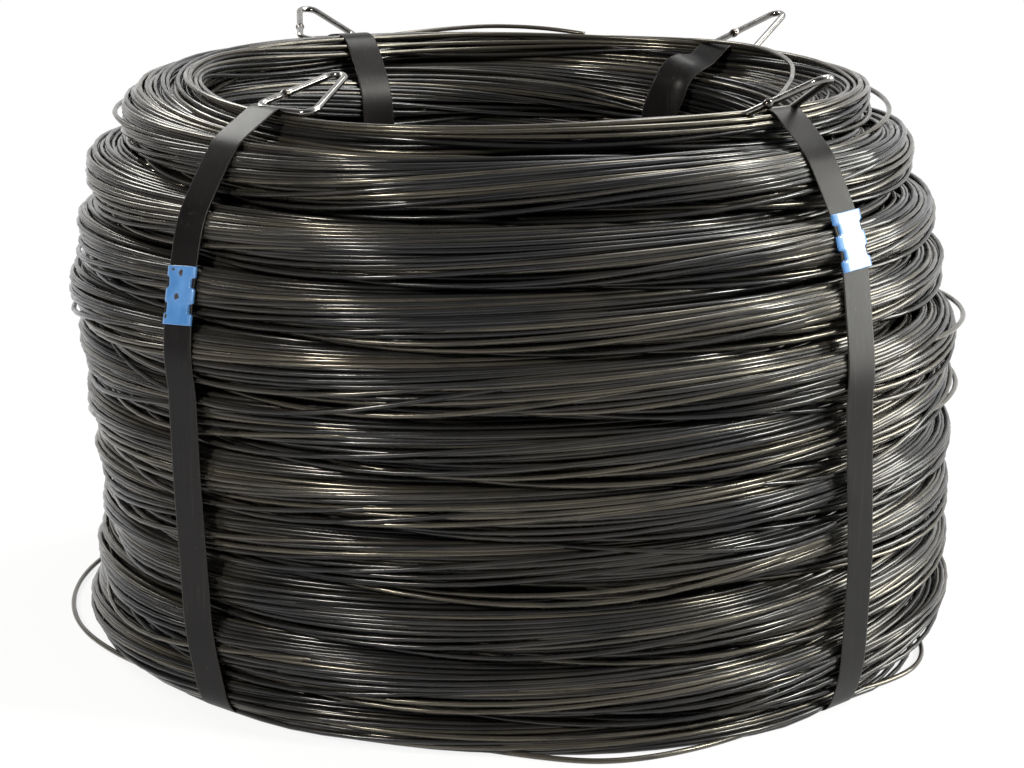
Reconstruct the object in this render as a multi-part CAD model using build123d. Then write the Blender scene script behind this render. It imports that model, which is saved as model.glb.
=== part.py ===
from build123d import *
import os

os.makedirs("parts", exist_ok=True)

# Lengths are in millimetres and angles in degrees.
# The coil stands on its end with its bore upright on Z. A bearing is an angle round Z from the front, which is -Y,
# and grows to the right.

# Wound body of the coil
bore_radius = 250.0
wound_depth = 142.0
outer_radius = bore_radius + wound_depth
coil_height = 484.0
mouth_round = 9.0
scallop_depth = 8.0
# Places on the wound section, each a share of its depth out from the bore and a share of its height
foot_shares = (0.838, 0.0)
shoulder_shares = (0.704, 0.878)
# One place for the crest of each bulge of the side, from the foot up
layer_crest_shares = [
    (0.951, 0.050),
    (0.912, 0.153),
    (0.923, 0.256),
    (0.930, 0.360),
    (0.958, 0.463),
    (1.000, 0.558),
    (0.916, 0.657),
    (0.842, 0.748),
    (0.780, 0.832),
]
# Length of each bulge's flat crest
crest_share = 0.3

# Crown, the tapered top end, whose turns show as ridges
crown_shares = (0.352, 1.0)
mouth_drop = 12.0
crown_turns = 5
turn_relief = 2.2

# Foot, the flat bottom end, whose turns show as lands with grooves between them
foot_turns = 3
foot_groove_width = 4.0

# Steel strap: four closed bands, each round the section of the coil at its own bearing
strap_width = 32.0
strap_thickness = 0.8
strap_recess = 0.2
strap_gap = 0.6
seat_gap = 0.3
strap_bearings = {"front_left": -42.0, "front_right": 45.0, "back_right": 142.0, "back_left": -147.0}

# Crimped seal: a folded sleeve on each strap's outer run, with two notches in each edge
seal_length = 46.0
seal_thickness = 0.9
seal_lip = 11.0
seal_height_shares = {"front_left": 0.690, "front_right": 0.760, "back_right": 0.713, "back_left": 0.713}
notch_depth = 3.5
notch_width = 7.0
notch_spacing = 20.0

# Wire loop: a closed triangle of round wire, whose base bar each strap holds down on the crown
loop_wire = 6.0
loop_width = 59.0
loop_reach = 83.0
loop_base_bend = 8.0
loop_apex_bend = 7.0
wire_sides = 8
bend_sides = 12
bead_length = 9.0
bead_swell = 1.3
bead_taper = 12.0
bead_share = 0.4
# Rise of each loop from level on the outer side, so that one over 90 leans in across the bore
loop_rises = {"front_left": 165.0, "front_right": 29.0, "back_right": 20.0, "back_left": 18.0}
# Turn of the crown that each loop's base bar lies on, counted from the shoulder in to the bore
loop_turns = {"front_left": 5, "front_right": 5, "back_right": 3, "back_left": 3}


def on_section(shares):
    """Point on the wound section, with radius across and height up."""
    return Vector(bore_radius + shares[0] * wound_depth, shares[1] * coil_height)


def side_outline():
    """Bulges of the layers from the foot up to the shoulder, each with a flat crest between two flanks."""
    crests = [on_section(shares) for shares in layer_crest_shares]
    valleys = [on_section(foot_shares)]
    valleys += [(low + high) / 2 - Vector(scallop_depth, 0) for low, high in zip(crests, crests[1:])]
    valleys.append(on_section(shoulder_shares))
    points = [valleys[0]]
    for low, crest, high in zip(valleys, crests, valleys[1:]):
        half_crest = (high - low) * (crest_share / 2)
        points += [crest - half_crest, crest + half_crest, high]
    return Polyline(*points)


def crown_path():
    """Line through the valleys of the crown, from the shoulder in to the mouth of the bore."""
    top = on_section(crown_shares) - Vector(0, turn_relief)
    mouth = Vector(bore_radius + mouth_round, top.Y - mouth_drop)
    return Spline(on_section(shoulder_shares), top, mouth, tangents=[(-1, 1), (-1, 0), (-1, -1)])


def above_crown(path, share, height):
    """Point at a share of the crown path's length, lifted square to it."""
    along = path % share
    return path @ share + Vector(along.Y, -along.X) * height


def crown_peaks(height):
    """Points above the middle of each turn of the crown."""
    path = crown_path()
    return [above_crown(path, (turn + 0.5) / crown_turns, height) for turn in range(crown_turns)]


def crown_outline():
    """Ridges of the crown's turns."""
    path = crown_path()
    points = [path @ 0]
    for turn, peak in enumerate(crown_peaks(turn_relief)):
        points += [peak, path @ ((turn + 1) / crown_turns)]
    return Polyline(*points)


def foot_outline():
    """Lands of the foot from the mouth out to the side, with a groove between each two."""
    inner = Vector(bore_radius + mouth_round, 0)
    outer = on_section(foot_shares)
    half_groove = Vector(foot_groove_width / 2, 0)
    points = [inner]
    for turn in range(1, foot_turns):
        middle = inner + (outer - inner) * (turn / foot_turns)
        points += [middle - half_groove, middle + Vector(0, turn_relief), middle + half_groove]
    return Polyline(*points, outer)


def bore_outline():
    """Straight wall of the bore between its two mouths, each eased by two bevels."""
    high = crown_path() @ 1
    low = Vector(bore_radius + mouth_round, 0)
    wall_top = Vector(bore_radius, high.Y - mouth_round)
    wall_foot = Vector(bore_radius, mouth_round)
    upper = RadiusArc(high, wall_top, -mouth_round)
    lower = RadiusArc(wall_foot, low, -mouth_round)
    return Polyline(high, upper @ 0.5, wall_top, wall_foot, lower @ 0.5, low)


def coil_outline():
    """Closed outline of the wound section, with radius across and height up."""
    return foot_outline() + side_outline() + crown_outline() + bore_outline()


def to_bearing(shape, place):
    """Turn what was drawn along +X to the bearing of one strap."""
    return Rot(0, 0, strap_bearings[place] - 90) * shape


def strap_channel():
    """Room for one strap where it bites into the bore wall and the foot."""
    width = strap_width + 2 * seat_gap
    bite = strap_recess + strap_thickness + seat_gap
    wall = bore_radius + seat_gap
    bore_side = Pos(wall / 2, 0, 0) * Box(wall, width, 3 * coil_height)
    foot_side = Pos(outer_radius, 0, 0) * Box(2 * outer_radius, width, 2 * bite)
    return bore_side + foot_side


def wire_coil():
    """One continuous wire, wound: a turned solid with the channels that its straps have bitten."""
    coil = revolve(Plane.XZ * make_face(coil_outline()), Axis.Z)
    for place in strap_bearings:
        coil -= to_bearing(strap_channel(), place)
    return coil


def bar_centre(place):
    """Centre of a loop's base bar, seated on the ridge of its own turn of the crown."""
    return crown_peaks(turn_relief + seat_gap + loop_wire / 2)[loop_turns[place] - 1]


def strap_room(place):
    """Everything that a strap goes round in one section of the coil, out to its own inner face."""
    bar = bar_centre(place)
    ring = Pos(bar.X, bar.Y) * RegularPolygon(loop_wire / 2, wire_sides)
    tight = make_hull(coil_outline().edges() + ring.edges())
    foot = strap_recess + strap_thickness
    bitten = Pos(bore_radius, foot) * Rectangle(outer_radius, 2 * coil_height, align=Align.MIN)
    return offset(tight, amount=strap_gap, kind=Kind.INTERSECTION) & bitten


def strap(room):
    """Closed band round the room that it leaves for the coil."""
    section = offset(room, amount=strap_thickness, kind=Kind.INTERSECTION) - room
    return extrude(Plane.XZ * section, amount=strap_width / 2, both=True)


def seal_frame(room, height):
    """Plane on the middle of the strap near a height of its outer side: X out of the coil and Z up the strap."""
    runs = [edge for edge in room.edges().filter_by(GeomType.LINE) if edge.length > seal_length]
    outer = [edge for edge in runs if edge.center().X > on_section(crown_shares).X]
    run = min(outer, key=lambda edge: abs(edge.center().Y - height))
    low, high = sorted([run @ 0, run @ 1], key=lambda end: end.Y)
    along = (high - low).normalized()
    out = Vector(along.Y, 0, -along.X)
    point = low + (high - low) * ((height - low.Y) / (high.Y - low.Y))
    origin = Vector(point.X, 0, point.Y) + out * (strap_thickness / 2)
    return Plane(origin=origin, x_dir=out, z_dir=(along.X, 0, along.Y))


def seal(room, height):
    """Folded sleeve round the strap, open between its two lips, with notches crimped into its edges."""
    depth = strap_thickness + 2 * seat_gap
    width = strap_width + 2 * seat_gap
    outer_width = width + 2 * seal_thickness
    overrun = 2 * depth
    sleeve = Box(depth + 2 * seal_thickness, outer_width, seal_length)
    sleeve -= Box(depth, width, seal_length + overrun)
    sleeve -= Pos(-(depth + overrun) / 2, 0, 0) * Box(overrun, width - 2 * seal_lip, seal_length + overrun)
    notch = Box(depth + overrun, 2 * notch_depth, notch_width)
    for side in (-1, 1):
        for step in (-0.5, 0.5):
            sleeve -= Pos(0, side * outer_width / 2, step * notch_spacing) * notch
    return seal_frame(room, height) * sleeve


def loop_line():
    """Middle line of a loop, pulled round its three bends: base bar on the X axis and apex up Y."""
    half = (loop_width - loop_wire) / 2
    reach = loop_reach - loop_wire
    base_bend = RegularPolygon(loop_base_bend, bend_sides)
    apex_bend = RegularPolygon(loop_apex_bend, bend_sides)
    left = Pos(loop_base_bend - half, loop_base_bend) * base_bend
    right = Pos(half - loop_base_bend, loop_base_bend) * base_bend
    apex = Pos(0, reach - loop_apex_bend) * apex_bend
    return make_hull(left.edges() + right.edges() + apex.edges()).wire()


def weld_bead():
    """Bead where the wire's ends are welded together, thickest in its middle."""
    ring = RegularPolygon(loop_wire / 2 + bead_swell, wire_sides)
    half = extrude(ring, amount=bead_length / 2, taper=bead_taper)
    return half + mirror(half, Plane.XY)


def wire_loop():
    """Wire bent to its line and closed by a weld on one leg."""
    line = loop_line()
    end = Plane(origin=line @ 0, z_dir=line % 0) * RegularPolygon(loop_wire / 2, wire_sides)
    wire = sweep(end, path=line, transition=Transition.RIGHT)
    legs = sorted(line.edges(), key=lambda edge: edge.length)[-2:]
    leg = min(legs, key=lambda edge: edge.center().X)
    low, high = sorted([leg @ 0, leg @ 1], key=lambda point: point.Y)
    weld = Plane(origin=low + (high - low) * bead_share, z_dir=high - low)
    return wire + weld * weld_bead()


def seated(loop, place):
    """Loop with its base bar on the crown, raised from level on the outer side."""
    bar = bar_centre(place)
    return Pos(bar.X, 0, bar.Y) * Rot(0, -loop_rises[place], 0) * Rot(0, 0, -90) * loop


loop = wire_loop()
export_step(wire_coil(), "parts/wire_coil.step")
for place in strap_bearings:
    room = strap_room(place)
    height = seal_height_shares[place] * coil_height
    export_step(to_bearing(strap(room), place), "parts/strap_" + place + ".step")
    export_step(to_bearing(seal(room, height), place), "parts/seal_" + place + ".step")
    export_step(to_bearing(seated(loop, place), place), "parts/wire_loop_" + place + ".step")
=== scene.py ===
import itertools
import math

import bmesh
import bpy
import numpy as np
from bpy.props import FloatProperty, FloatVectorProperty, IntProperty, PointerProperty
from mathutils import Matrix, Vector


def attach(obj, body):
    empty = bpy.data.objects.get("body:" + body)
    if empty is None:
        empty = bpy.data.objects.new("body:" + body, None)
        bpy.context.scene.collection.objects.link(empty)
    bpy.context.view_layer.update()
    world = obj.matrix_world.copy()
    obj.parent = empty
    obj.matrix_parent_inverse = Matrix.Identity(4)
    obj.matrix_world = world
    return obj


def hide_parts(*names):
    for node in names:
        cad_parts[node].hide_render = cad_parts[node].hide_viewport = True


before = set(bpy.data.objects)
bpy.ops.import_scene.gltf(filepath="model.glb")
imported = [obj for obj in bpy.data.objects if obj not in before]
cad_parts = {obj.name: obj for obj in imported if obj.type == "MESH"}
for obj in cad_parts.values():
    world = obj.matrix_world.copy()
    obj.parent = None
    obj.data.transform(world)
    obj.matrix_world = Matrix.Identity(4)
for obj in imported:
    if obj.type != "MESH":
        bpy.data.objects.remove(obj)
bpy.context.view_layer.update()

bl_info = {
    "name": "Coil of wire rod",
    "version": (1, 0, 0),
    "blender": (4, 5, 0),
    "location": "3D View > Sidebar > Wire coil",
    "description": "Winds the turns of a strapped coil of wire rod and dresses its straps, seals and wire loops",
    "category": "Object",
}

# Lengths inside the winding are in millimetres, and metres are only made where a mesh is.
MM = 0.001
PLACES = ("front_left", "front_right", "back_right", "back_left")
STRAP_BEARINGS = {"front_left": -42.0, "front_right": 45.0, "back_right": 142.0, "back_left": -147.0}
# How far each strap strays from its bearing: pairs of height and angle on its outer run, then on its inner run
OUTER_STRAY = {
    "front_left": ((0, 3.9), (75, 2.0), (190, 0.8), (262, 0.4), (330, -1.6), (400, -2.4), (484, -2.0)),
    "front_right": ((0, 1.1), (128, 1.2), (262, -1.0), (380, 0.3), (484, -1.4)),
    "back_right": ((0, 0.4), (240, 1.0), (400, 0.0), (484, -2.0)),
    "back_left": ((0, -0.6), (240, 0.4), (484, 0.8)),
}
INNER_STRAY = {
    "front_left": ((0, 2.0), (484, -2.0)),
    "front_right": ((0, -1.0), (484, -1.4)),
    "back_right": ((0, 2.0), (300, 4.5), (420, 3.8), (484, -2.0)),
    "back_left": ((0, -1.2), (400, -0.4), (484, 0.8)),
}

# Section of the wound coil: pairs of height and radius
OUTER_LINE = (
    (0, 378), (24, 386), (74, 378), (124, 377), (174, 380), (224, 384), (247, 383), (270, 388), (292, 389), (318, 381),
    (340, 379), (362, 371), (384, 369), (403, 365), (425, 351), (456, 329), (470, 318), (479, 308), (484, 300),
)
INNER_LINE = ((0, 254), (9, 250), (455, 250), (470, 258), (478, 267), (484, 276))
# Line that the straps are drawn tight along, from the foot up over the side to the crest
STRAP_LINE = (
    (0, 369), (31, 386), (263, 392), (277, 391), (311, 381), (356, 371), (396, 362), (456, 331), (477, 318), (484, 300),
)
# Scuffs on a seal: place up it, place across it and width
SCUFFS = {
    "front_left": ((17.5, 1.0, 3.0), (-1.0, -1.5, 3.2), (-17.0, -13.0, 2.0), (20.0, -9.0, 1.8)),
    "front_right": (),
    "back_right": ((8.0, 3.0, 2.6), (-16.0, -4.0, 2.0)),
    "back_left": ((-4.0, 2.0, 2.8),),
}
# Height of each seal's middle
SEAL_HEIGHTS = {"front_left": 334.0, "front_right": 384.0, "back_right": 345.0, "back_left": 345.0}
# Each wire loop: radius and sideways slip of its base bar, turn, rise from level on the outer side, and weld's side
LOOPS = {
    "front_left": (284.0, 16.0, 11.0, 164.0, 1),
    "front_right": (283.0, -10.0, 0.0, 29.0, 1),
    "back_right": (316.0, 5.0, -9.0, 24.0, -1),
    "back_left": (310.0, 14.0, -11.0, 16.0, -1),
}
# Sideways set of the layers, by height
LAYER_SET = (
    (0, 0), (50, 10), (100, 13), (150, 11), (200, 6), (260, 0), (300, -3), (327, -8), (350, -7), (390, -9), (430, -9),
    (484, -10),
)
# Dip of the crown: its bearing and its spread in degrees, and its depth by height
DIP_BEARING, DIP_SPREAD = -38, 34
DIP_DEPTH = ((0, 0), (330, 0), (484, 15))
CREST = OUTER_LINE[-1][0]
# Share of a wire's thickness that a turn sinks between the two below it
NEST = 0.134
# Shapes tried for each turn, and how much a rough bed counts against one
TRIALS = 8
ROUGH_COST = 0.6
MOST_TURNS = 4000
# The winding is shared out into pieces by its middle radius and by its height
BORE_FACE = 300
LOW_TOP, MIDDLE_TOP = 140, 290


# Loose turns, each through points given as bearing in degrees, radius and height
STRAYS = (
    (
        (-150, 366, 26), (-125, 372, 16), (-112, 386, 8), (-98, 396, 3), (-85, 394, 2.5), (-74, 388, 2.2),
        (-62, 374, 4), (-48, 362, 9),
    ),
    (
        (-14, 362, 8), (-6, 364, 4), (2, 376, 2.5), (10, 394, 2.2), (17, 391, 2.2), (26, 380, 2.4), (37, 366, 4),
        (50, 356, 9),
    ),
    ((48, 372, 287), (60, 379, 288), (72, 388, 287), (84, 392, 285), (96, 388, 283), (110, 376, 281), (124, 368, 280)),
    ((50, 368, 222), (62, 377, 224), (74, 386, 225), (84, 389, 226), (96, 382, 227), (112, 368, 228)),
    (
        (58, 306, 446), (72, 314, 453), (86, 319, 458), (100, 321, 462), (114, 320, 466), (130, 314, 470),
        (146, 306, 473), (160, 300, 475),
    ),
    ((-128, 326, 446), (-112, 340, 446), (-96, 350, 445), (-82, 349, 443), (-68, 336, 441), (-56, 324, 440)),
    (
        (164, 306, 480), (150, 298, 483), (140, 288, 486), (126, 272, 488), (112, 252, 488), (98, 240, 487),
        (84, 232, 486), (66, 240, 485), (54, 258, 483), (44, 276, 479), (34, 290, 474),
    ),
    ((168, 300, 483), (176, 306, 487), (186, 308, 488), (196, 304, 484), (206, 298, 480)),
    ((50, 366, 5), (58, 376, 2.6), (64, 383, 2.2), (70, 380, 2.2), (78, 366, 4)),
)


def along(pairs, value):
    """Value read off a line that is given as pairs."""
    return np.interp(value, [pair[0] for pair in pairs], [pair[1] for pair in pairs])


def direction(bearing):
    """Unit steps in X and Y at a bearing, in radians, from the front and growing to the right."""
    return np.sin(bearing), -np.cos(bearing)


# Materials


def new_material(name):
    """Empty node material with its surface shader."""
    material = bpy.data.materials.new(name)
    material.use_nodes = True
    tree = material.node_tree
    return material, tree, tree.nodes["Principled BSDF"]


def add(tree, kind, inputs=None, **settings):
    """Node with its settings, its fixed inputs and its links."""
    node = tree.nodes.new(kind)
    for key, value in settings.items():
        setattr(node, key, value)
    for key, value in (inputs or {}).items():
        if isinstance(value, bpy.types.NodeSocket):
            tree.links.new(value, node.inputs[key])
        else:
            node.inputs[key].default_value = value
    return node


def ramp(tree, factor, stops):
    """Colour ramp from pairs of place and colour."""
    node = add(tree, "ShaderNodeValToRGB", {"Fac": factor})
    elements = node.color_ramp.elements
    while len(elements) < len(stops):
        elements.new(0.5)
    for element, (place, colour) in zip(elements, stops):
        element.position = place
        element.color = (*colour, 1.0) if len(colour) == 3 else colour
    return node.outputs["Color"]


def grain(tree, scale, detail=4.0, roughness=0.55, stretch=(1.0, 1.0, 1.0)):
    """Noise on the object's own coordinates."""
    place = add(tree, "ShaderNodeTexCoord").outputs["Object"]
    mapped = add(tree, "ShaderNodeMapping", {"Vector": place, "Scale": stretch}).outputs["Vector"]
    inputs = {"Vector": mapped, "Scale": scale, "Detail": detail, "Roughness": roughness}
    return add(tree, "ShaderNodeTexNoise", inputs).outputs["Fac"]


def spread(tree, value, low, high, to_low=0.0, to_high=1.0):
    """Value remapped from one range to another, and held inside it."""
    inputs = {"Value": value, "From Min": low, "From Max": high, "To Min": to_low, "To Max": to_high}
    return add(tree, "ShaderNodeMapRange", inputs).outputs["Result"]


def blend_colours(tree, factor, first, second, mode="MIX"):
    """Two colours mixed by a factor."""
    node = tree.nodes.new("ShaderNodeMix")
    node.data_type = "RGBA"
    node.blend_type = mode
    for socket, value in ((node.inputs[0], factor), (node.inputs[6], first), (node.inputs[7], second)):
        if isinstance(value, bpy.types.NodeSocket):
            tree.links.new(value, socket)
        else:
            socket.default_value = (*value, 1.0) if isinstance(value, tuple) else value
    return node.outputs[2]


def bump(tree, shader, height, strength, distance):
    """Fine relief in the surface's normal."""
    node = add(tree, "ShaderNodeBump", {"Height": height, "Strength": strength, "Distance": distance})
    tree.links.new(node.outputs["Normal"], shader.inputs["Normal"])


def lay_grain(tree, per_turn, across, detail=3.0, roughness=0.6):
    """Noise drawn out along the turns of the coil: marks in a radian, and marks in a metre across the wire."""
    place = add(tree, "ShaderNodeTexCoord").outputs["Object"]
    way = add(tree, "ShaderNodeSeparateXYZ", {0: place})
    front = add(tree, "ShaderNodeMath", {0: way.outputs["Y"], 1: -1.0}, operation="MULTIPLY").outputs[0]
    bearing = add(tree, "ShaderNodeMath", {0: way.outputs["X"], 1: front}, operation="ARCTAN2").outputs[0]
    flat = add(tree, "ShaderNodeVectorMath", {0: place, 1: (1.0, 1.0, 0.0)}, operation="MULTIPLY").outputs[0]
    radius = add(tree, "ShaderNodeVectorMath", {0: flat}, operation="LENGTH").outputs["Value"]
    lay = add(tree, "ShaderNodeCombineXYZ", {"X": bearing, "Y": radius, "Z": way.outputs["Z"]}).outputs[0]
    scaled = add(tree, "ShaderNodeMapping", {"Vector": lay, "Scale": (per_turn, across, across)}).outputs["Vector"]
    inputs = {"Vector": scaled, "Scale": 1.0, "Detail": detail, "Roughness": roughness}
    return add(tree, "ShaderNodeTexNoise", inputs).outputs["Fac"]


def wire_finish(name, colour, sheen):
    """Drawn wire with its dark oxide skin, whose tone changes from turn to turn and along each turn."""
    material, tree, shader = new_material(name)
    tone = add(tree, "ShaderNodeAttribute", attribute_name="tone").outputs["Fac"]
    patches = grain(tree, 6.0, 4.0, 0.6)
    streaks = lay_grain(tree, 9.0, 110.0, 1.0)
    pits = grain(tree, 420.0, 3.0, 0.6)
    dark = tuple(channel * 0.6 for channel in colour)
    body = ramp(tree, tone, [(0.0, dark), (0.35, colour), (0.6, colour), (0.8, sheen), (1.0, sheen)])
    worn = blend_colours(tree, spread(tree, patches, 0.45, 0.7, 0.0, 0.5), body, sheen)
    streaked = blend_colours(tree, spread(tree, streaks, 0.5, 0.72, 0.0, 0.6), worn, dark)
    pitted = blend_colours(tree, spread(tree, pits, 0.62, 0.74, 0.0, 0.3), streaked, dark)
    tree.links.new(pitted, shader.inputs["Base Color"])
    tree.links.new(spread(tree, streaks, 0.35, 0.65, 0.14, 0.3), shader.inputs["Roughness"])
    shader.inputs["Metallic"].default_value = 0.7
    shader.inputs["Specular IOR Level"].default_value = 0.4
    bump(tree, shader, pits, 0.03, 0.0002)
    return material


def core_painted_shade_finish(name, colour):
    """Hidden turns inside the coil, coloured near black as painted shade of the deep gaps, seen only as darkness
    between the outer ones.
    """
    material, tree, shader = new_material(name)
    rings = grain(tree, 14.0, 3.0, 0.6, (1.0, 1.0, 14.0))
    # Painted shade: noise rings darken the core's colour further towards black
    tree.links.new(ramp(tree, rings, [(0.35, (0.001, 0.001, 0.001)), (0.75, colour)]), shader.inputs["Base Color"])
    shader.inputs["Roughness"].default_value = 0.8
    shader.inputs["Specular IOR Level"].default_value = 0.1
    bump(tree, shader, rings, 0.4, 0.002)
    return material


def strap_finish(name, colour, worn):
    """Blackened steel strap with faint draw marks, handling scuffs and rubbed edges."""
    material, tree, shader = new_material(name)
    edge = add(tree, "ShaderNodeAttribute", attribute_name="edge").outputs["Fac"]
    clouds = grain(tree, 11.0, 5.0, 0.6)
    draws = grain(tree, 26.0, 4.0, 0.65, (12.0, 12.0, 0.5))
    nicks = grain(tree, 150.0, 3.0, 0.7)
    dark = tuple(channel * 0.55 for channel in colour)
    body = blend_colours(tree, spread(tree, clouds, 0.35, 0.7), dark, colour)
    scored = blend_colours(tree, spread(tree, draws, 0.56, 0.74, 0.0, 0.35), body, worn)
    nicked = blend_colours(tree, spread(tree, nicks, 0.66, 0.74, 0.0, 0.5), scored, worn)
    rubbed = blend_colours(tree, spread(tree, edge, 0.94, 1.0, 0.0, 0.8), nicked, worn)
    tree.links.new(rubbed, shader.inputs["Base Color"])
    tree.links.new(spread(tree, clouds, 0.35, 0.7, 0.3, 0.42), shader.inputs["Roughness"])
    shader.inputs["Metallic"].default_value = 0.2
    shader.inputs["Specular IOR Level"].default_value = 0.15
    bump(tree, shader, draws, 0.12, 0.0004)
    return material


def seal_finish(name, paint, steel):
    """Glossy blue paint on a seal, chipped to dark steel at its scuffs and in small spots."""
    material, tree, shader = new_material(name)
    scuff = add(tree, "ShaderNodeAttribute", attribute_name="scuff").outputs["Fac"]
    clouds = grain(tree, 45.0, 4.0)
    chips = grain(tree, 420.0, 4.0, 0.75)
    light = tuple(min(1.0, channel * 1.2 + 0.03) for channel in paint)
    body = blend_colours(tree, spread(tree, clouds, 0.4, 0.7), paint, light)
    broken = add(tree, "ShaderNodeMath", {0: scuff, 1: chips}, operation="ADD").outputs[0]
    dusty = blend_colours(tree, spread(tree, broken, 0.9, 1.0), body, (0.05, 0.028, 0.015))
    chipped = blend_colours(tree, spread(tree, broken, 0.98, 1.04), dusty, steel)
    tree.links.new(chipped, shader.inputs["Base Color"])
    tree.links.new(spread(tree, broken, 0.6, 1.0, 0.3, 0.8), shader.inputs["Roughness"])
    shader.inputs["Specular IOR Level"].default_value = 0.6
    shader.inputs["Coat Weight"].default_value = 0.5
    shader.inputs["Coat Roughness"].default_value = 0.12
    bump(tree, shader, clouds, 0.15, 0.0005)
    return material


def loop_finish(name, colour, dull):
    """Bright drawn wire with fine draw lines, dulled and burnt dark at its weld."""
    material, tree, shader = new_material(name)
    weld = add(tree, "ShaderNodeAttribute", attribute_name="weld").outputs["Fac"]
    dulled = grain(tree, 40.0, 3.0)
    lines = grain(tree, 240.0, 2.0, 0.6)
    body = blend_colours(tree, spread(tree, dulled, 0.45, 0.7, 0.0, 0.45), colour, dull)
    burnt = blend_colours(tree, spread(tree, weld, 0.02, 0.2, 0.0, 0.85), body, (0.05, 0.04, 0.035))
    tree.links.new(burnt, shader.inputs["Base Color"])
    tree.links.new(spread(tree, lines, 0.3, 0.7, 0.1, 0.2), shader.inputs["Roughness"])
    shader.inputs["Metallic"].default_value = 1.0
    bump(tree, shader, lines, 0.05, 0.0001)
    return material


def floor_finish(name, colour, clear):
    """Pale floor that shows white to the camera, and keeps the soft shadow near the object."""
    material, tree, shader = new_material(name)
    shader.inputs["Roughness"].default_value = 0.9
    shader.inputs["Specular IOR Level"].default_value = 0.0
    mottle = grain(tree, 3.0, 2.0)
    shade = tuple(channel * 0.985 for channel in colour)
    tree.links.new(blend_colours(tree, mottle, colour, shade), shader.inputs["Base Color"])
    place = add(tree, "ShaderNodeTexCoord").outputs["Object"]
    away = add(tree, "ShaderNodeVectorMath", {0: place}, operation="LENGTH").outputs["Value"]
    glow_share = spread(tree, away, clear * 0.45, clear, 0.85, 1.0)
    rays = add(tree, "ShaderNodeLightPath")
    shown = rays.outputs["Is Camera Ray"]
    for ray in ("Is Glossy Ray", "Is Transmission Ray"):
        shown = add(tree, "ShaderNodeMath", {0: shown, 1: rays.outputs[ray]}, operation="MAXIMUM").outputs[0]
    seen = add(tree, "ShaderNodeMath", {0: shown, 1: glow_share}, operation="MULTIPLY")
    glow = add(tree, "ShaderNodeEmission", {"Color": (1.0, 1.0, 1.0, 1.0), "Strength": 1.0})
    mixed = add(tree, "ShaderNodeMixShader", {0: seen.outputs[0], 1: shader.outputs[0], 2: glow.outputs[0]})
    tree.links.new(mixed.outputs[0], tree.nodes["Material Output"].inputs["Surface"])
    return material


# Meshes


def finish_piece(piece, material, slot, *nodes):
    """Give a piece its finish, seat it on the frame and hide the model's parts that it stands for; the slot that it is
    given is not used.
    """
    piece.data.materials.clear()
    piece.data.materials.append(material)
    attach(piece, "root")
    if nodes:
        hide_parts(*nodes)


def piece_from(name, mesh):
    """Object at the origin from a finished mesh."""
    piece = bpy.data.objects.new(name, mesh)
    bpy.context.scene.collection.objects.link(piece)
    return piece


def round_wire(name, lines, radius, resolution):
    """Mesh of round wire along lines in metres. Each line is (points, closed, swell at each point or None)."""
    curve = bpy.data.curves.new(name + "_line", "CURVE")
    curve.dimensions = "3D"
    curve.bevel_depth = radius
    curve.bevel_resolution = resolution
    for points, closed, swell in lines:
        spline = curve.splines.new("POLY")
        spline.points.add(len(points) - 1)
        spline.points.foreach_set("co", np.column_stack([points, np.ones(len(points))]).ravel())
        if swell is not None:
            spline.points.foreach_set("radius", swell)
        spline.use_cyclic_u = closed
        spline.use_smooth = True
    holder = bpy.data.objects.new(name + "_line", curve)
    mesh = bpy.data.meshes.new_from_object(holder)
    bpy.data.objects.remove(holder)
    bpy.data.curves.remove(curve)
    mesh.name = name
    return mesh


def tubes(name, runs, radius, resolution):
    """Round tubes along runs of points in metres. Each run is (points, closed, tone)."""
    mesh = round_wire(name, [(points, closed, None) for points, closed, _tone in runs], radius, resolution)
    around = 4 + 2 * resolution
    tones = np.repeat([run[2] for run in runs], [around * len(run[0]) for run in runs])
    if len(tones) != len(mesh.vertices):
        raise RuntimeError(f"{name}: {len(mesh.vertices)} vertices for {len(tones)} tones")
    mesh.attributes.new("tone", "FLOAT", "POINT").data.foreach_set("value", tones.astype(np.float32))
    work = bmesh.new()
    work.from_mesh(mesh)
    bmesh.ops.holes_fill(work, edges=[edge for edge in work.edges if edge.is_boundary], sides=around)
    work.to_mesh(mesh)
    work.free()
    return piece_from(name, mesh)


def sheet(name, rows, closed, tags):
    """Thin sheet through rows of points in metres, with attributes that follow its columns or its points."""
    long, wide = rows.shape[:2]
    work = bmesh.new()
    bmesh.ops.create_grid(work, x_segments=long - 1, y_segments=wide - 1, size=1.0)
    layers = {key: work.verts.layers.float.new(key) for key in tags}
    for vertex in work.verts:
        row = round((vertex.co.x + 1) / 2 * (long - 1))
        column = round((vertex.co.y + 1) / 2 * (wide - 1))
        vertex.co = rows[row, column]
        for key, layer in layers.items():
            vertex[layer] = tags[key][row, column]
    if closed:
        seam = [vertex for vertex in work.verts if vertex.is_boundary]
        bmesh.ops.remove_doubles(work, verts=seam, dist=1e-6)
    mesh = bpy.data.meshes.new(name)
    work.to_mesh(mesh)
    work.free()
    mesh.shade_smooth()
    return piece_from(name, mesh)


def thicken(piece, thickness, bevel=0.0):
    """Give a sheet its thickness on both sides, and ease its edges where a bevel width is given."""
    shell = piece.modifiers.new("thickness", "SOLIDIFY")
    shell.thickness = thickness
    shell.offset = 0.0
    if bevel:
        edge = piece.modifiers.new("edges", "BEVEL")
        edge.width = bevel
        edge.segments = 2
        edge.limit_method = "ANGLE"


def bent_wire(name, points, swell, radius):
    """Closed round wire through points in metres, swollen where its weld is."""
    mesh = round_wire(name, [(points, True, swell)], radius, 5)
    weld = np.repeat((np.asarray(swell) - 1).clip(0), len(mesh.vertices) // len(points))
    mesh.attributes.new("weld", "FLOAT", "POINT").data.foreach_set("value", weld.astype(np.float32))
    mesh.shade_smooth()
    return piece_from(name, mesh)


# Winding


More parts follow.
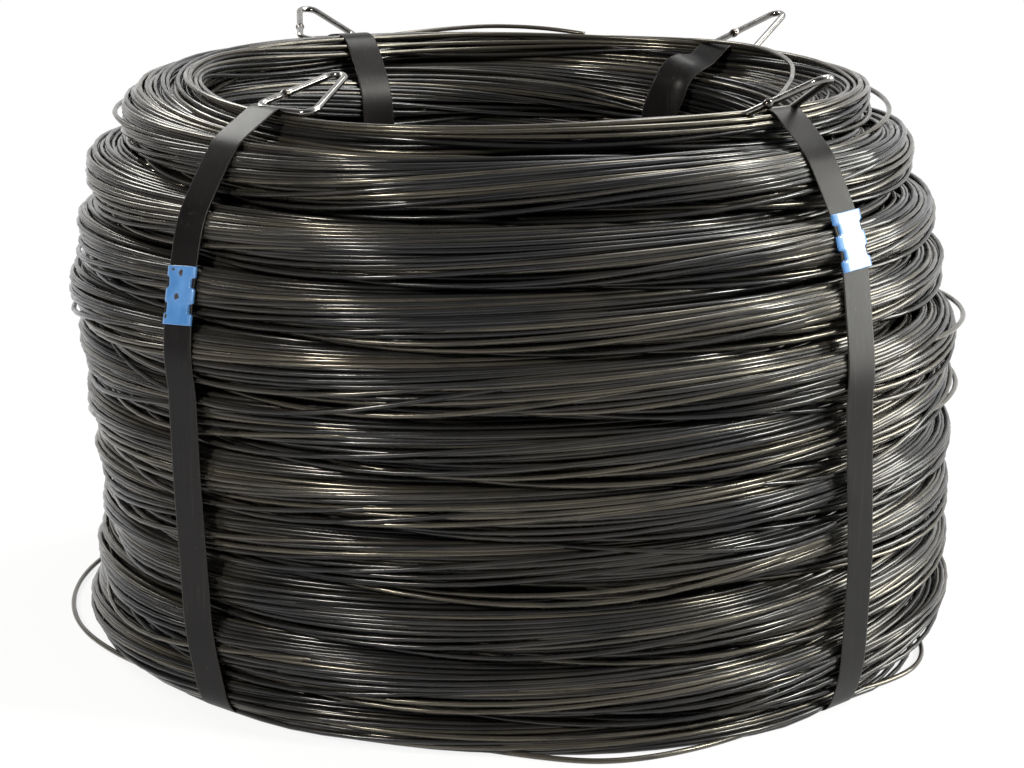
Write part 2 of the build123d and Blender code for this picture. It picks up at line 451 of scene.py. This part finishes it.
def eased(profile, waves):
    """Profile round the coil as a springy wire would follow it, with its short waves left out."""
    spectrum = np.fft.rfft(profile)
    spectrum *= np.exp(-((np.arange(len(spectrum)) / waves) ** 2) / 2)
    return np.fft.irfft(spectrum, len(profile))


def pile_turns(winding):
    """Drop turn after turn on the pile, each off centre in a direction that walks round the coil.

    Returns the bearings, and the radius and the height of every turn at each. Turns may run into one another.
    """
    chance = np.random.default_rng(winding.seed)
    count = winding.samples
    bearing = np.arange(count) * (2 * math.pi / count)
    wire = winding.wire_diameter / MM
    step = wire / 2
    base = INNER_LINE[1][1] - 8 * step
    slots = int(170 / step)
    column = np.arange(count)
    levels = np.arange(0, CREST)
    widest = np.maximum.accumulate(along(OUTER_LINE, levels)) - wire / 2 + 1.5
    ledge = np.interp(base + (np.arange(slots) + 0.5) * step, widest, levels)
    pile = np.repeat(np.maximum(ledge - wire, 0)[:, None], count, axis=1)
    radii = []
    heights = []
    phase = 0.6
    level = 0.0
    top = CREST - wire
    depth = along(OUTER_LINE, 100) - along(INNER_LINE, 100)
    while level < top and len(radii) < MOST_TURNS:
        outer = along(OUTER_LINE, level) - wire / 2
        inner = along(INNER_LINE, level) + wire / 2
        middle = (outer + inner) / 2
        phase -= 2 * math.pi / (winding.layer_turns * (outer - inner) / depth)
        best = None
        for _trial in range(TRIALS):
            reach = (outer - inner) / 2 * math.sqrt(1 - chance.random() ** 2)
            lean = phase + chance.normal(0, 0.11)
            radius = middle + reach * np.cos(bearing - lean)
            for wave in (2, 3, 5):
                radius += chance.normal(0, 1.4 / wave) * np.cos(wave * bearing + chance.uniform(0, 7))
            radius = np.clip(radius, inner - 1.0, outer + 1.5)
            slot = np.clip(((radius - base) / step).astype(int), 1, slots - 2)
            under = np.maximum(pile[slot - 1, column], pile[slot + 1, column]) - wire * NEST
            under = np.maximum(under, pile[slot, column])
            cost = under.mean() + ROUGH_COST * (under - eased(under, 1.5)).std()
            if best is None or cost < best[0]:
                best = (cost, radius, slot, under)
        _cost, radius, slot, under = best
        height = eased(under, 3.0)
        height += 0.5 * eased(np.maximum(under - height, 0), 7.0)
        height = np.maximum(height, 0)
        pile[slot, column] = np.maximum(pile[slot, column], height + wire)
        radii.append(radius)
        heights.append(height + wire / 2)
        low = int((inner - base) / step)
        high = int((outer - base) / step)
        level = pile[low:high].mean()
    heights = np.array(heights)
    crest = eased(heights.max(axis=0), 6.0)
    return bearing, np.array(radii), heights * ((CREST - wire / 2) / crest)


def strap_bearing(place, height, inner=False):
    """Bearing of a strap's middle at a height, in radians."""
    stray = (INNER_STRAY if inner else OUTER_STRAY)[place]
    return np.radians(STRAP_BEARINGS[place] + along(stray, height))


def off_strap(bearing, height, inner=False, width=0.1):
    """How much of a turn's own shape is left near a strap: 0 under it and 1 well away from it."""
    left = np.ones_like(height)
    for place in PLACES:
        gap = bearing - strap_bearing(place, height, inner)
        gap = (gap + math.pi) % (2 * math.pi) - math.pi
        left = left * (1 - np.exp(-((gap / width) ** 2) / 2))
    return left


def settle(bearing, radii, heights, winding):
    """Set the layers sideways, dip the crown and draw the turns in under the straps."""
    wire = winding.wire_diameter / MM
    angle = np.broadcast_to(bearing, radii.shape)
    free = off_strap(angle, heights, width=0.26)
    radii = radii + along(LAYER_SET, heights) * np.sin(angle) * free
    tight = 1 - off_strap(angle, heights, width=0.085)
    line = along(STRAP_LINE, heights) - wire / 2 - 0.6
    radii = radii - tight * np.maximum(radii - line, 0)
    dip = np.exp(-(((np.degrees(angle) + 180) % 360 - 180 - DIP_BEARING) / DIP_SPREAD) ** 2 / 2)
    dip = dip * along(DIP_DEPTH, heights)
    foot = 1.4 * (1 - off_strap(angle, heights, width=0.07))
    return radii, np.maximum(heights - dip, wire / 2 + foot)


def wound_lay(winding):
    """Bearings, radii and heights of every turn as it lies in the strapped coil."""
    bearing, radii, heights = pile_turns(winding)
    return bearing, *settle(bearing, radii, heights, winding)


def seen_turns(radii, heights, winding):
    """Which samples of the turns lie near the outer side, the bore, the crown or the foot."""
    wire = winding.wire_diameter / MM
    depth = winding.seen_depth / MM
    count = radii.shape[1]
    column = np.broadcast_to(np.arange(count), radii.shape)
    seen = np.zeros(radii.shape, bool)
    for across, up in ((heights, radii), (heights, -radii), (radii, heights), (radii, -heights)):
        origin = across.min()
        slot = ((across - origin) / (wire * 0.75)).astype(int)
        rows = slot.max() + 3
        skyline = np.full((rows, count), -1e9)
        np.maximum.at(skyline, (slot + 1, column), up)
        near = np.maximum(skyline[:-2], skyline[1:-1])
        near = np.maximum(near, skyline[2:])
        seen |= up > near[slot, column] - depth
    # Short hidden stretches are closed, and every stretch runs on under its neighbours
    for _grow in range(winding.run_on + 3):
        seen |= np.roll(seen, 1, axis=1) | np.roll(seen, -1, axis=1)
    for _shrink in range(3):
        seen &= np.roll(seen, 1, axis=1) & np.roll(seen, -1, axis=1)
    return seen


def turn_points(bearing, radius, height):
    """Points of a turn in metres."""
    x, y = direction(bearing)
    return np.column_stack([radius * x, radius * y, height]) * MM


def visible_runs(bearing, radii, heights, seen, tones):
    """Stretches of wire that can be seen, each as (points, closed, tone) with its middle radius and height."""
    runs = []
    count = len(bearing)
    for radius, height, mask, tone in zip(radii, heights, seen, tones):
        if mask.all():
            runs.append(((turn_points(bearing, radius, height), True, tone), radius.mean(), height.mean()))
            continue
        starts = np.flatnonzero(mask & ~np.roll(mask, 1))
        for start in starts:
            length = int(np.argmin(np.roll(mask, -start)))
            if length < 4:
                continue
            pick = (start + np.arange(length)) % count
            # Each end dives under its neighbours
            dive = np.interp(np.minimum(np.arange(length), np.arange(length)[::-1]), (0, 1, 2, 3), (8, 4, 1.5, 0))
            inward = np.array([320 - radius[pick], np.clip(height[pick], 60, 420) - height[pick]])
            inward = inward / np.maximum(np.hypot(*inward), 1) * dive
            points = turn_points(bearing[pick], radius[pick] + inward[0], height[pick] + inward[1])
            runs.append(((points, False, tone), radius[pick].mean(), height[pick].mean()))
    return runs


def packed_core(name, inset):
    """Closed ring inside the visible turns, spun from its section."""
    heights = np.linspace(inset, CREST - inset * 1.6, 24)
    outer = [(along(OUTER_LINE, height + inset * 0.6) - inset, height) for height in heights]
    inner = [(along(INNER_LINE, height) + inset * 0.7, height) for height in heights[::-1]]
    work = bmesh.new()
    ring = [work.verts.new((radius * MM, 0.0, height * MM)) for radius, height in outer + inner]
    edges = [work.edges.new((ring[i], ring[(i + 1) % len(ring)])) for i in range(len(ring))]
    spin = dict(cent=(0, 0, 0), axis=(0, 0, 1), dvec=(0, 0, 0), angle=2 * math.pi, steps=96, use_merge=True)
    bmesh.ops.spin(work, geom=ring + edges, use_duplicate=False, **spin)
    bmesh.ops.remove_doubles(work, verts=work.verts, dist=1e-6)
    bmesh.ops.recalc_face_normals(work, faces=work.faces)
    # The spin leaves its faces in no fixed order
    work.verts.index_update()
    count = len(work.verts)
    work.faces.sort(key=lambda face: min(v.index for v in face.verts) * count + max(v.index for v in face.verts))
    mesh = bpy.data.meshes.new(name)
    work.to_mesh(mesh)
    work.free()
    mesh.shade_smooth()
    return piece_from(name, mesh)


# Straps, seals and loops


def crown_height(bearing, radii, heights, middle, radius, reach=0.1):
    """Height of the wires' tops on the crown near a bearing and a radius."""
    gap = (bearing - middle + math.pi) % (2 * math.pi) - math.pi
    near = (np.abs(gap) < reach) & (np.abs(radii - radius) < 4.5)
    return float(heights[near].max()) + 2.0


def cut_across(bearing, radii, heights, angle):
    """Radius and height of each turn where it passes its own angle."""
    count = len(bearing)
    place = np.mod(angle, 2 * math.pi) / (2 * math.pi) * count
    first = place.astype(int) % count
    share = place - place.astype(int)
    turn = np.arange(len(radii))
    after = (first + 1) % count
    return (
        radii[turn, first] * (1 - share) + radii[turn, after] * share,
        heights[turn, first] * (1 - share) + heights[turn, after] * share,
    )


def hull(points):
    """Corners of the tight outline round points, walked anticlockwise."""
    points = sorted(map(tuple, points))
    outline = []
    for run in (points, points[::-1]):
        side = []
        for x, y in run:
            while len(side) > 1 and (side[-1][0] - side[-2][0]) * (y - side[-2][1]) <= (
                side[-1][1] - side[-2][1]
            ) * (x - side[-2][0]):
                side.pop()
            side.append((x, y))
        outline += side[:-1]
    return np.array(outline)


def resampled(points, spacing):
    """Closed line divided into even steps."""
    ring = np.vstack([points, points[:1]])
    length = np.concatenate([[0], np.cumsum(np.hypot(*np.diff(ring, axis=0).T))])
    count = int(length[-1] / spacing)
    walk = np.arange(count) * length[-1] / count
    return np.column_stack([np.interp(walk, length, ring[:, 0]), np.interp(walk, length, ring[:, 1])])


def strap_path(place, bearing, radii, heights, bar, wire):
    """Closed line of a strap: radius and height at each point, its bearing there and the way out of the coil."""
    cloud = []
    middle = np.broadcast_to(np.radians(STRAP_BEARINGS[place]), len(radii))
    _radius, level = cut_across(bearing, radii, heights, middle)
    around = np.arange(8) * math.pi / 4
    for inner, aside in itertools.product((False, True), (-0.05, 0.0, 0.05)):
        radius, height = cut_across(bearing, radii, heights, strap_bearing(place, level, inner) + aside)
        for turn in around:
            cloud.append(np.column_stack([radius + wire / 2 * np.cos(turn), height + wire / 2 * np.sin(turn)]))
    cloud.append(np.column_stack([bar[0] + 3.2 * np.cos(around), bar[1] + 3.2 * np.sin(around)]))
    line = resampled(hull(np.vstack(cloud)), 4.0)
    for step in range(14):
        eased_line = (np.roll(line, 1, axis=0) + line + np.roll(line, -1, axis=0)) / 3
        free = (step < 3) | ((line[:, 1] > 60) & (line[:, 1] < 445))
        line = np.where(np.broadcast_to(free, len(line))[:, None], eased_line, line)
    ahead = np.roll(line, -1, axis=0) - np.roll(line, 1, axis=0)
    out = np.column_stack([ahead[:, 1], -ahead[:, 0]]) / np.hypot(*ahead.T)[:, None]
    line = line + out * np.interp(line[:, 0], (262, 300), (2.0, 0.9))[:, None]
    line[:, 1] = np.maximum(line[:, 1], 0.5)
    share = np.clip((line[:, 0] - 255) / 60, 0, 1)
    angle = strap_bearing(place, line[:, 1], True) * (1 - share) + strap_bearing(place, line[:, 1]) * share
    return line, angle, out


def strap_rows(place, line, angle, out, wide, creased):
    """Points across a strap, row by row along its line, in metres, with its edge marked, and folded along a crease
    where one is asked for.
    """
    x, y = direction(angle)
    middle = np.column_stack([line[:, 0] * x, line[:, 0] * y, line[:, 1]])
    normal = np.column_stack([out[:, 0] * x, out[:, 0] * y, out[:, 1]])
    ahead = np.roll(middle, -1, axis=0) - np.roll(middle, 1, axis=0)
    across = np.cross(ahead, normal)
    across /= np.linalg.norm(across, axis=1)[:, None]
    normal = np.cross(across, ahead)
    normal /= np.linalg.norm(normal, axis=1)[:, None]
    half = wide / 2
    places = np.array([-half, -half * 0.93, -half * 0.35, 0, half * 0.35, half * 0.93, half])
    rows = middle[:, None, :] + across[:, None, :] * places[None, :, None]
    if creased:
        # A slack inner run stands off the bore and is folded lengthwise
        inside = np.clip((275 - line[:, 0]) / 10, 0, 1) * np.interp(line[:, 1], (250, 330, 455, 480), (0, 1, 1, 0))
        lift = np.maximum(0, places + half * 0.35) * creased + 6.0
        rows = rows + normal[:, None, :] * (inside[:, None] * lift[None, :])[:, :, None]
    edge = np.broadcast_to(np.abs(places) / half, rows.shape[:2])
    return np.vstack([rows, rows[:1]]) * MM, np.vstack([edge, edge[:1]])


def seal_rows(line, angle, height, size, gap, scuffs):
    """Points of a seal's folded sleeve, row by row up the strap, in metres, with its scuffs marked."""
    length, width, lip = size
    run = np.flatnonzero(line[:, 0] > 320)
    near = run[np.argmin(np.abs(line[run, 1] - height))]
    low, high = near - 4, near + 4
    x, y = direction(angle[near])
    ends = []
    for row in (low, high):
        side, front = direction(angle[row])
        ends.append(Vector((line[row, 0] * side, line[row, 0] * front, line[row, 1])))
    up = (ends[1] - ends[0]).normalized()
    across = up.cross(Vector((x, y, 0.0))).normalized()
    face = across.cross(up)
    origin = Vector((line[near, 0] * x, line[near, 0] * y, line[near, 1]))
    half, bend = width / 2, gap
    profile = [(-gap, half - lip), (-gap, half - bend), (-gap * 0.7, half - bend * 0.3), (-gap * 0.2, half)]
    profile += [(gap * 0.2, half - bend * 0.3), (gap * 0.4, half - bend), (gap * 0.8, half * 0.84)]
    profile += [(gap, half * share) for share in (0.76, 0.68, 0.6, 0.45, 0.3, 0.1)]
    profile += [(depth, -side) for depth, side in profile[::-1]]
    steps = np.linspace(-length / 2, length / 2, 70)
    rows = np.zeros((len(steps), len(profile), 3))
    for row, step in enumerate(steps):
        crimp = sum(1 / (1 + math.exp((abs(step - centre) - 4.2) * 4)) for centre in (-10, 10))
        for column, (depth, side) in enumerate(profile):
            close = min(max((abs(side) - half * 0.6) / (half * 0.34), 0), 1)
            pinch = crimp * close * close
            place = origin + face * (depth - pinch * (0.9 if depth > 0 else 0.0))
            place += across * (side - math.copysign(3.4 * pinch, side)) + up * step
            rows[row, column] = place
    scuff = np.zeros(rows.shape[:2])
    for row, step in enumerate(steps):
        for column, (depth, side) in enumerate(profile):
            for spot, about, wide in scuffs:
                scuff[row, column] += math.exp(-((step - spot) ** 2 + (side - about) ** 2) / wide**2)
    return rows * MM, scuff


def arc(centre, radius, first, last):
    """Points round part of a circle on a plane, from one angle to another in degrees."""
    turn = np.radians(np.linspace(first, last, 9))
    return np.column_stack([centre[0] + radius * np.cos(turn), centre[1] + radius * np.sin(turn)])


def loop_line(size):
    """Middle line of a wire loop on a plane: base bar on the X axis and apex up Y, with even steps."""
    half, reach, base_bend, apex_bend = size
    apex = (0.0, reach - apex_bend)
    foot = (half - base_bend, base_bend)
    fall = math.degrees(math.atan2(apex[1] - foot[1], foot[0]))
    lean = math.degrees(math.asin((base_bend - apex_bend) / math.hypot(foot[0], apex[1] - foot[1])))
    square = 90 - fall + lean
    right = arc(foot, base_bend, -90, square)
    top = arc(apex, apex_bend, square, 180 - square)
    left = arc((-foot[0], foot[1]), base_bend, 180 - square, 270)
    return resampled(np.vstack([right, top, left]), 1.5)


def stray_runs(tone):
    """Loose turns that stand off the coil, each as (points, closed, tone)."""
    runs = []
    for stray in STRAYS:
        marks = np.array(stray, float)
        walk = np.arange(len(marks))
        fine = np.linspace(0, len(marks) - 1, 12 * (len(marks) - 1) + 1)
        path = np.column_stack([np.interp(fine, walk, marks[:, axis]) for axis in range(3)])
        for _pass in range(30):
            path[1:-1] = (path[:-2] + path[1:-1] + path[2:]) / 3
        points = turn_points(np.radians(path[:, 0]), path[:, 1], path[:, 2])
        runs.append((points, False, tone))
    return runs


class WindingSettings(bpy.types.PropertyGroup):
    wire_diameter: FloatProperty(
        name="Wire diameter", description="Thickness of the wire", default=0.0044, unit="LENGTH"
    )
    layer_turns: IntProperty(name="Turns in a layer", description="Turns while the lay walks once round", default=200)
    samples: IntProperty(name="Samples in a turn", description="Points along each turn of wire", default=80)
    seen_depth: FloatProperty(
        name="Seen depth", description="Depth below the surface to which turns are made", default=0.0145, unit="LENGTH"
    )
    run_on: IntProperty(name="Run on", description="Samples that a stretch runs on under its neighbours", default=4)
    core_inset: FloatProperty(
        name="Core inset", description="Depth of the packed core below the surface", default=0.034, unit="LENGTH"
    )
    seed: IntProperty(name="Seed", description="Seed of the lay's chance", default=11)
    colour: FloatVectorProperty(
        name="Oxide", description="Dark skin of the wire", subtype="COLOR", default=(0.034, 0.034, 0.035)
    )
    sheen: FloatVectorProperty(
        name="Sheen", description="Worn, tan tone of the wire", subtype="COLOR", default=(0.09, 0.082, 0.066)
    )
    # Colour of the packed core: a near-black painted shade for the deep gaps between the turns, darker than the wire's
    # own oxide
    dark: FloatVectorProperty(
        name="Darkness", description="Deep turns of the core", subtype="COLOR", default=(0.005, 0.005, 0.005)
    )


class FittingSettings(bpy.types.PropertyGroup):
    strap_width: FloatProperty(name="Strap width", description="Width of the straps", default=0.032, unit="LENGTH")
    strap_thickness: FloatProperty(
        name="Strap thickness", description="Thickness of the straps", default=0.0008, unit="LENGTH"
    )
    seal_length: FloatProperty(name="Seal length", description="Length along the strap", default=0.046, unit="LENGTH")
    seal_width: FloatProperty(name="Seal width", description="Width over the strap", default=0.0344, unit="LENGTH")
    seal_lip: FloatProperty(name="Seal lip", description="Width of the folded lips", default=0.011, unit="LENGTH")
    seal_thickness: FloatProperty(
        name="Seal thickness", description="Thickness of the seal's sheet", default=0.0009, unit="LENGTH"
    )
    loop_wire: FloatProperty(name="Loop wire", description="Thickness of the loops' wire", default=0.006, unit="LENGTH")
    loop_half: FloatProperty(
        name="Loop half width", description="Half of the base bar's middle line", default=0.0265, unit="LENGTH"
    )
    loop_reach: FloatProperty(
        name="Loop reach", description="Height of the loop's middle line", default=0.077, unit="LENGTH"
    )
    strap_colour: FloatVectorProperty(
        name="Strap", description="Blackened steel of the straps", subtype="COLOR", default=(0.008, 0.0072, 0.0074)
    )
    strap_worn: FloatVectorProperty(
        name="Strap wear", description="Rubbed steel of the straps", subtype="COLOR", default=(0.04, 0.037, 0.034)
    )
    seal_paint: FloatVectorProperty(
        name="Seal paint", description="Blue paint of the seals", subtype="COLOR", default=(0.036, 0.14, 0.34)
    )
    seal_steel: FloatVectorProperty(
        name="Seal steel", description="Steel where the paint has gone", subtype="COLOR", default=(0.012, 0.01, 0.009)
    )
    loop_bright: FloatVectorProperty(
        name="Loop wire", description="Bright wire of the loops", subtype="COLOR", default=(0.27, 0.262, 0.25)
    )
    loop_dull: FloatVectorProperty(
        name="Loop dullness", description="Dull spots of the loops", subtype="COLOR", default=(0.1, 0.093, 0.085)
    )


class StageSettings(bpy.types.PropertyGroup):
    lens_pixels: FloatProperty(
        name="Focal length", description="Focal length in pixels of a 1024 wide view", default=2500.0
    )
    distance: FloatProperty(name="Distance", description="Camera to the coil's axis", default=2.167, unit="LENGTH")
    height: FloatProperty(name="Height", description="Camera above the floor", default=0.744, unit="LENGTH")
    pitch: FloatProperty(name="Pitch", description="Tilt down from level", default=math.radians(14.06), subtype="ANGLE")
    roll: FloatProperty(name="Roll", description="Turn about the view", default=math.radians(1.13), subtype="ANGLE")
    floor_size: FloatProperty(name="Floor", description="Width of the floor", default=16.0, unit="LENGTH")
    world_light: FloatProperty(name="Fill", description="Soft fill light from all round", default=0.36)
    room_light: FloatProperty(name="Room", description="Light that metal mirrors from the camera's side", default=0.1)
    floor_clear: FloatProperty(
        name="Clear floor", description="Distance past which the floor is plain white", default=1.0, unit="LENGTH"
    )
    floor_colour: FloatVectorProperty(
        name="Floor colour", description="Pale floor", subtype="COLOR", default=(0.9, 0.9, 0.9)
    )


class COIL_OT_winding(bpy.types.Operator):
    """Wind the turns of the coil round its packed core"""

    bl_idname = "wire_coil.winding"
    bl_label = "Winding"

    def execute(self, context):
        winding = context.scene.coil_winding
        chance = np.random.default_rng(winding.seed + 1)
        bearing, radii, heights = wound_lay(winding)
        seen = seen_turns(radii, heights, winding)
        tones = chance.random(len(radii))
        runs = visible_runs(bearing, radii, heights, seen, tones)
        groups = {}
        for run, radius, height in runs:
            face = "bore" if radius < BORE_FACE else "side"
            level = "low" if height < LOW_TOP else "middle" if height < MIDDLE_TOP else "high"
            groups.setdefault(f"wire_{face}_{level}", []).append(run)
        groups["wire_side_low"] += stray_runs(0.9)
        finish = wire_finish("Oxidised wire", tuple(winding.colour), tuple(winding.sheen))
        for name, group in groups.items():
            piece = tubes(name, group, winding.wire_diameter / 2, 1)
            finish_piece(piece, finish, "wire_rod", "wire_coil")
        core = packed_core("packed_core", winding.core_inset / MM)
        # The core is coloured near black as painted shade between the outer turns
        finish_piece(core, core_painted_shade_finish("Deep turns", tuple(winding.dark)), "wire_rod", "wire_coil")
        return {"FINISHED"}


class COIL_OT_fittings(bpy.types.Operator):
    """Draw the straps tight round the winding, crimp their seals and seat the wire loops under them"""

    bl_idname = "wire_coil.fittings"
    bl_label = "Straps, seals and loops"

    def execute(self, context):
        fitting = context.scene.coil_fittings
        winding = context.scene.coil_winding
        strap_steel = strap_finish("Blackened strap", tuple(fitting.strap_colour), tuple(fitting.strap_worn))
        paint = seal_finish("Blue paint", tuple(fitting.seal_paint), tuple(fitting.seal_steel))
        bright = loop_finish("Bright wire", tuple(fitting.loop_bright), tuple(fitting.loop_dull))
        lay = wound_lay(winding)
        for place in PLACES:
            radius, slip, yaw, rise, weld = LOOPS[place]
            middle = float(strap_bearing(place, CREST))
            half = fitting.loop_wire / MM / 2
            bar = (radius, crown_height(*lay, middle, radius) + half - 0.8)
            line, angle, out = strap_path(place, *lay, bar, winding.wire_diameter / MM)

            creased = 0.5 if place == "back_right" else 0.0
            rows, edge = strap_rows(place, line, angle, out, fitting.strap_width / MM, creased)
            strap = sheet("band_" + place, rows, True, {"edge": edge})
            thicken(strap, fitting.strap_thickness)
            finish_piece(strap, strap_steel, "strap", "strap_" + place)

            size = [length / MM for length in (fitting.seal_length, fitting.seal_width, fitting.seal_lip)]
            gap = fitting.strap_thickness / MM + 0.6
            rows, scuff = seal_rows(line, angle, SEAL_HEIGHTS[place], size, gap, SCUFFS[place])
            seal = sheet("sleeve_" + place, rows, False, {"scuff": scuff})
            thicken(seal, fitting.seal_thickness)
            finish_piece(seal, paint, "seal", "seal_" + place)

            flat = loop_line([length / MM for length in (fitting.loop_half, fitting.loop_reach, 0.009, 0.009)])
            seat = Matrix.Rotation(middle - math.pi / 2, 4, "Z") @ Matrix.Translation((bar[0], slip, bar[1]))
            seat = seat @ Matrix.Rotation(math.radians(yaw), 4, "Z") @ Matrix.Rotation(-math.radians(rise), 4, "Y")
            seat = seat @ Matrix.Rotation(-math.pi / 2, 4, "Z")
            points = np.array([seat @ Vector((across, up, 0.0)) for across, up in flat]) * MM
            from_weld = np.abs(flat[:, 1] - fitting.loop_reach / MM * 0.4) + 100 * (flat[:, 0] * weld < 0)
            swell = 1 + 0.38 * np.exp(-((from_weld / 2.6) ** 4))
            loop = bent_wire("loop_" + place, points, swell, fitting.loop_wire / 2)
            finish_piece(loop, bright, "loop_wire", "wire_loop_" + place)
        return {"FINISHED"}


def area_lamp(name, size, place, target, power, colour):
    """Soft rectangular lamp aimed at a point."""
    data = bpy.data.lights.new(name, "AREA")
    data.shape = "RECTANGLE"
    data.size, data.size_y = size
    data.energy = power
    data.color = colour
    lamp = bpy.data.objects.new(name, data)
    lamp.location = place
    lamp.rotation_euler = (Vector(target) - Vector(place)).to_track_quat("-Z", "Y").to_euler()
    bpy.context.scene.collection.objects.link(lamp)
    return lamp


class COIL_OT_stage(bpy.types.Operator):
    """Set the floor, the lamps, the world and the camera"""

    bl_idname = "wire_coil.stage"
    bl_label = "Stage"

    def execute(self, context):
        stage = context.scene.coil_stage
        work = bmesh.new()
        bmesh.ops.create_grid(work, x_segments=1, y_segments=1, size=stage.floor_size / 2)
        mesh = bpy.data.meshes.new("floor")
        work.to_mesh(mesh)
        work.free()
        floor = piece_from("floor", mesh)
        floor.data.materials.append(floor_finish("Pale floor", tuple(stage.floor_colour), stage.floor_clear))

        world = bpy.data.worlds.new("Studio")
        world.use_nodes = True
        context.scene.world = world
        tree = world.node_tree
        rays = add(tree, "ShaderNodeLightPath")
        background = tree.nodes["Background"]
        background.inputs["Color"].default_value = (0.93, 0.95, 1.0, 1.0)
        background.inputs["Strength"].default_value = stage.world_light
        # Metal mirrors a white backdrop behind the object and a dim room in front of it and to its left
        way = add(tree, "ShaderNodeTexCoord").outputs["Generated"]
        facing = add(tree, "ShaderNodeVectorMath", {0: way, 1: (0.68, 0.72, 0.15)}, operation="DOT_PRODUCT")
        room = spread(tree, facing.outputs["Value"], -0.35, 0.45, stage.room_light, 1.0)
        mirrored = add(tree, "ShaderNodeBackground", {"Color": (1.0, 1.0, 1.0, 1.0), "Strength": room})
        white = add(tree, "ShaderNodeBackground", {"Color": (1.0, 1.0, 1.0, 1.0), "Strength": 1.0})
        straight = {0: rays.outputs["Is Camera Ray"], 1: rays.outputs["Is Transmission Ray"]}
        shown = add(tree, "ShaderNodeMath", straight, operation="MAXIMUM")
        glossy = {0: rays.outputs["Is Glossy Ray"], 1: background.outputs[0], 2: mirrored.outputs[0]}
        mixed = add(tree, "ShaderNodeMixShader", glossy)
        mixed = add(tree, "ShaderNodeMixShader", {0: shown.outputs[0], 1: mixed.outputs[0], 2: white.outputs[0]})
        tree.links.new(mixed.outputs[0], tree.nodes["World Output"].inputs["Surface"])

        aim = (0.0, 0.0, 0.26)
        area_lamp("left_front", (0.3, 0.4), (-1.7, -1.8, 1.5), aim, 54, (1.0, 0.95, 0.86))
        area_lamp("right_front", (0.35, 0.5), (2.0, -0.8, 1.4), aim, 50, (1.0, 1.0, 0.93))
        area_lamp("right_side", (1.0, 1.3), (2.3, 0.4, 0.7), aim, 56, (1.0, 1.0, 0.93))
        area_lamp("back_left", (0.9, 0.6), (-1.4, 1.4, 1.8), aim, 24, (1.0, 1.0, 0.96))
        area_lamp("overhead", (1.4, 1.4), (0.95, 0.6, 2.4), aim, 62, (1.0, 1.0, 0.98))

        data = bpy.data.cameras.new("camera")
        data.sensor_width = 36.0
        data.sensor_fit = "HORIZONTAL"
        data.lens = stage.lens_pixels / 1024 * data.sensor_width
        data.shift_x = -2.0 / 1024
        camera = bpy.data.objects.new("camera", data)
        turn = Matrix.Rotation(math.pi / 2 - stage.pitch, 4, "X") @ Matrix.Rotation(stage.roll, 4, "Z")
        camera.matrix_world = Matrix.Translation((0.0, -stage.distance, stage.height)) @ turn
        context.scene.collection.objects.link(camera)
        context.scene.camera = camera
        context.scene.view_settings.view_transform = "Standard"
        return {"FINISHED"}


class COIL_PT_panel(bpy.types.Panel):
    """Sizes, colours and steps of the coil"""

    bl_idname = "COIL_PT_panel"
    bl_label = "Wire coil"
    bl_space_type = "VIEW_3D"
    bl_region_type = "UI"
    bl_category = "Wire coil"

    def draw(self, context):
        layout = self.layout
        for title, settings in SETTINGS.items():
            box = layout.box()
            box.label(text=title.replace("_", " "))
            group = getattr(context.scene, title)
            for key in settings.__annotations__:
                box.prop(group, key)
        for operator in OPERATORS:
            layout.operator(operator.bl_idname)


SETTINGS = {"coil_winding": WindingSettings, "coil_fittings": FittingSettings, "coil_stage": StageSettings}
OPERATORS = (COIL_OT_winding, COIL_OT_fittings, COIL_OT_stage)


def register():
    for settings in SETTINGS.values():
        bpy.utils.register_class(settings)
    for title, settings in SETTINGS.items():
        setattr(bpy.types.Scene, title, PointerProperty(type=settings))
    for operator in OPERATORS:
        bpy.utils.register_class(operator)
    bpy.utils.register_class(COIL_PT_panel)


def unregister():
    bpy.utils.unregister_class(COIL_PT_panel)
    for operator in reversed(OPERATORS):
        bpy.utils.unregister_class(operator)
    for title, settings in SETTINGS.items():
        delattr(bpy.types.Scene, title)
        bpy.utils.unregister_class(settings)


def main():
    register()
    bpy.ops.wire_coil.winding()
    bpy.ops.wire_coil.fittings()
    bpy.ops.wire_coil.stage()


if __name__ == "__main__":
    main()
